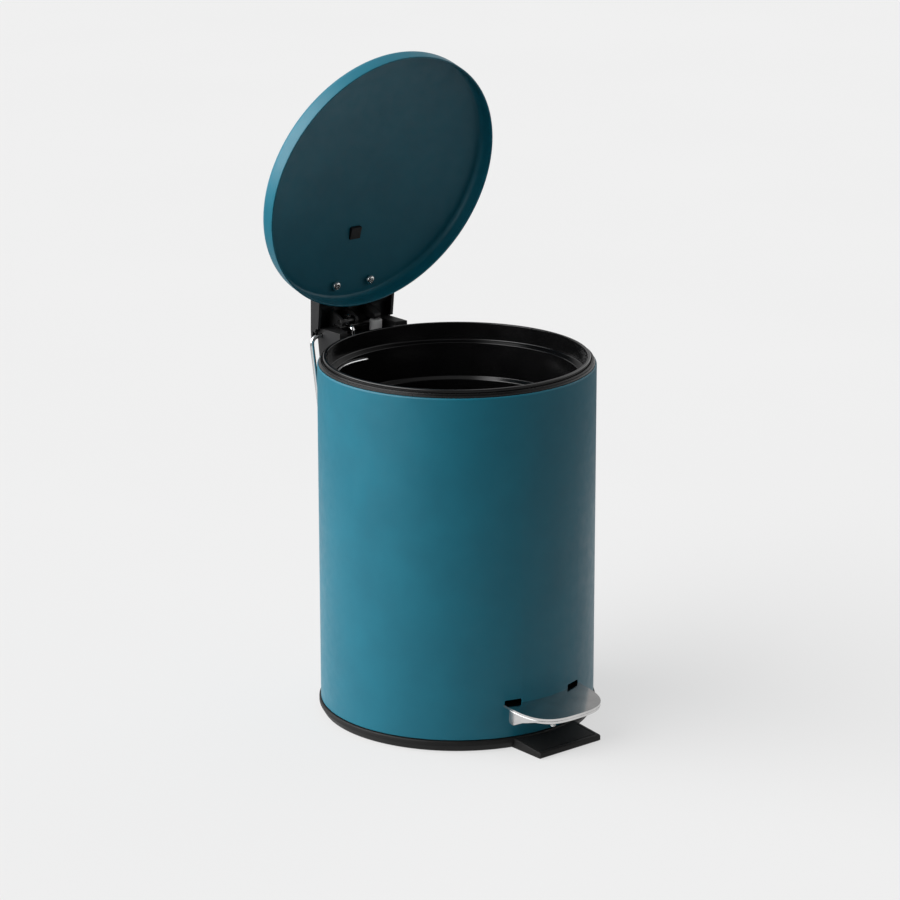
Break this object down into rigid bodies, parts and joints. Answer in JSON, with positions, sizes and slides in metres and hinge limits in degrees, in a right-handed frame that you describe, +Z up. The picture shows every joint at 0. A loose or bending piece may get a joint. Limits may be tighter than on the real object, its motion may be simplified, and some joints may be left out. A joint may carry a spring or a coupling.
{
  "type": "pedal bin",
  "caption": "Round pedal bin shown open: painted steel tube and domed lid, black inner bucket and base, polished half-moon pedal, rear hinge with lift rod and wire handle.",
  "frame": {"origin": "on the floor, on the axis of the round body", "axes": "+Z up along the body's axis, -Y towards the pedal, +Y towards the lid hinge"},
  "size_m": [0.1722, 0.2201, 0.4033],
  "materials": {
    "petrol_paint": "satin powder coat",
    "black_plastic": "gloss",
    "black_moulding": "fine matte grain",
    "bright_steel": "polished",
    "plain_steel": "zinc plated",
    "grey_plastic": "matte",
    "soft_rubber": "matte"
  },
  "bodies": {
    "can": {"body_shell": "petrol_paint", "collar_ring": "black_plastic", "base": "black_moulding", "foot_pad_front_left": "soft_rubber", "foot_pad_front_right": "soft_rubber", "foot_pad_rear_left": "soft_rubber", "foot_pad_rear_right": "soft_rubber", "hinge_base": "black_moulding", "hinge_pin": "plain_steel", "backing_strip": "plain_steel", "bracket_screw_left": "plain_steel", "bracket_screw_right": "plain_steel", "damper_body": "grey_plastic", "pivot_pin": "plain_steel", "rod_guide": "black_moulding"},
    "lid": {"lid_panel": "petrol_paint", "lid_hood": "black_moulding", "lid_screw_left": "bright_steel", "lid_screw_right": "bright_steel", "hook_bar": "plain_steel"},
    "pedal": {"pedal_plate": "bright_steel", "pedal_lever": "plain_steel", "pedal_rivet_left": "plain_steel", "pedal_rivet_right": "plain_steel", "pedal_bumper": "grey_plastic"},
    "rod": {"lift_rod": "bright_steel", "rod_collar": "plain_steel"},
    "plunger": {"damper_plunger": "grey_plastic"},
    "handle": {"carry_handle": "bright_steel"},
    "bucket": {"inner_bucket": "black_plastic"},
    "bail": {"bucket_bail": "bright_steel"}
  },
  "joints": [
    {"name": "lid_hinge", "type": "hinge", "parent": "can", "child": "lid", "pos_m": [0, 0.1, 0.2245], "axis": [1, 0, 0], "range_deg": [0, 73.4]},
    {"name": "pedal_pivot", "type": "hinge", "parent": "can", "child": "pedal", "pos_m": [0, -0.056, 0.0233], "axis": [-1, 0, 0], "range_deg": [0, 5]},
    {"name": "rod_slide", "type": "slide", "parent": "can", "child": "rod", "axis": [0, 0, -1], "range_m": [0, 0.01175]},
    {"name": "damper_slide", "type": "slide", "parent": "can", "child": "plunger", "axis": [0, 0, -1], "range_m": [0, 0.01175]},
    {"name": "handle_swing", "type": "hinge", "parent": "can", "child": "handle", "pos_m": [0, 0.0998, 0.2218], "axis": [1, 0, 0], "range_deg": [0, 155]},
    {"name": "bucket_lift", "type": "slide", "parent": "can", "child": "bucket", "axis": [0, 0, 1], "range_m": [0, 0.005]},
    {"name": "bail_swing", "type": "hinge", "parent": "bucket", "child": "bail", "pos_m": [-0.0128, 0, 0.2098], "axis": [0, 1, 0], "range_deg": [0, 10]}
  ],
  "couplings": [
    {"joint": "pedal_pivot", "follows": "lid_hinge", "ratio": 0.06804},
    {"joint": "rod_slide", "follows": "lid_hinge", "m_per_rad": 0.0091434},
    {"joint": "damper_slide", "follows": "lid_hinge", "m_per_rad": 0.0091434}
  ]
}
